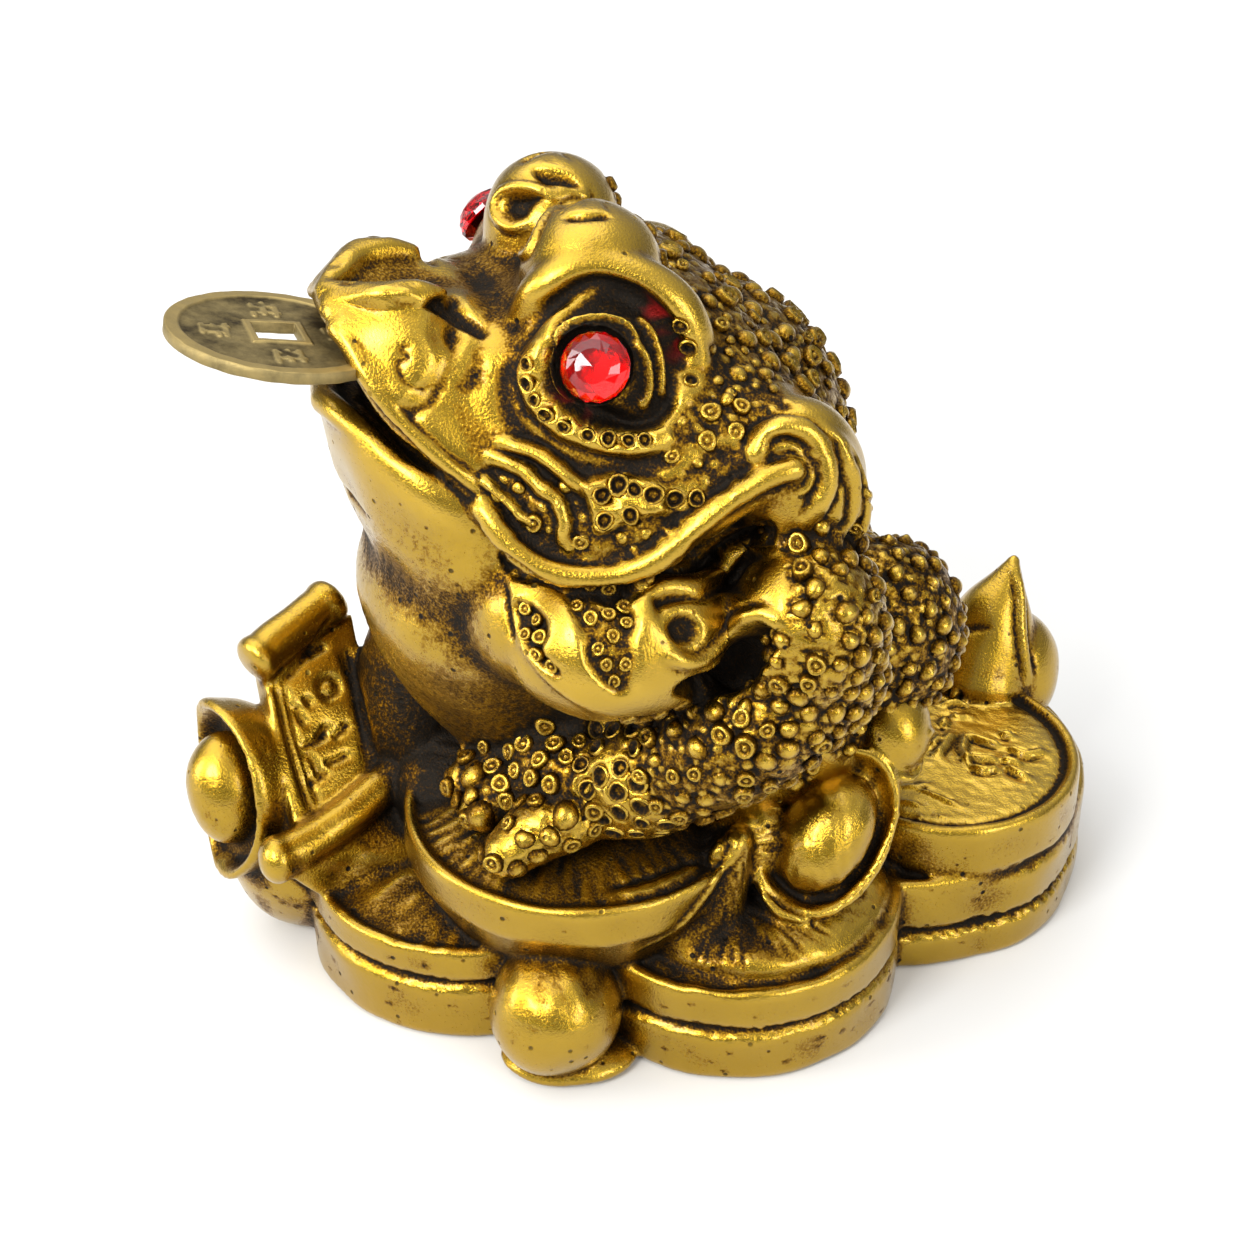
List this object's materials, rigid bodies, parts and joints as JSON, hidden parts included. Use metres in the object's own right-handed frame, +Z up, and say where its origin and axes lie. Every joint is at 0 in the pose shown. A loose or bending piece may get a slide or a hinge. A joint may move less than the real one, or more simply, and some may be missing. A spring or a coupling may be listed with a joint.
{
  "type": "money toad figure",
  "caption": "Gold-finished resin toad figure with faceted gem eyes, seated on stacked coins and ingots with a rolled bill, holding a loose coin with a square hole in its open mouth.",
  "frame": {"origin": "on the underside, in the toad's middle plane, under its belly", "axes": "+Z up, the toad looks along -Y, +X is the toad's left side"},
  "size_m": [0.0762, 0.1107, 0.096],
  "materials": {
    "antique_gold_resin": "antique gold metallic finish over cast resin, rubbed bright on high points, with dark brown patina in the recesses",
    "red_gem": "clear red faceted glass, polished",
    "aged_brass_coin": "aged brass, brown-black in the field and rubbed on the rim and strokes"
  },
  "bodies": {
    "root": {"toad_on_treasure": "antique_gold_resin", "eye_gem_left": "red_gem", "eye_gem_right": "red_gem", "mouth_coin": "aged_brass_coin"}
  },
  "joints": []
}
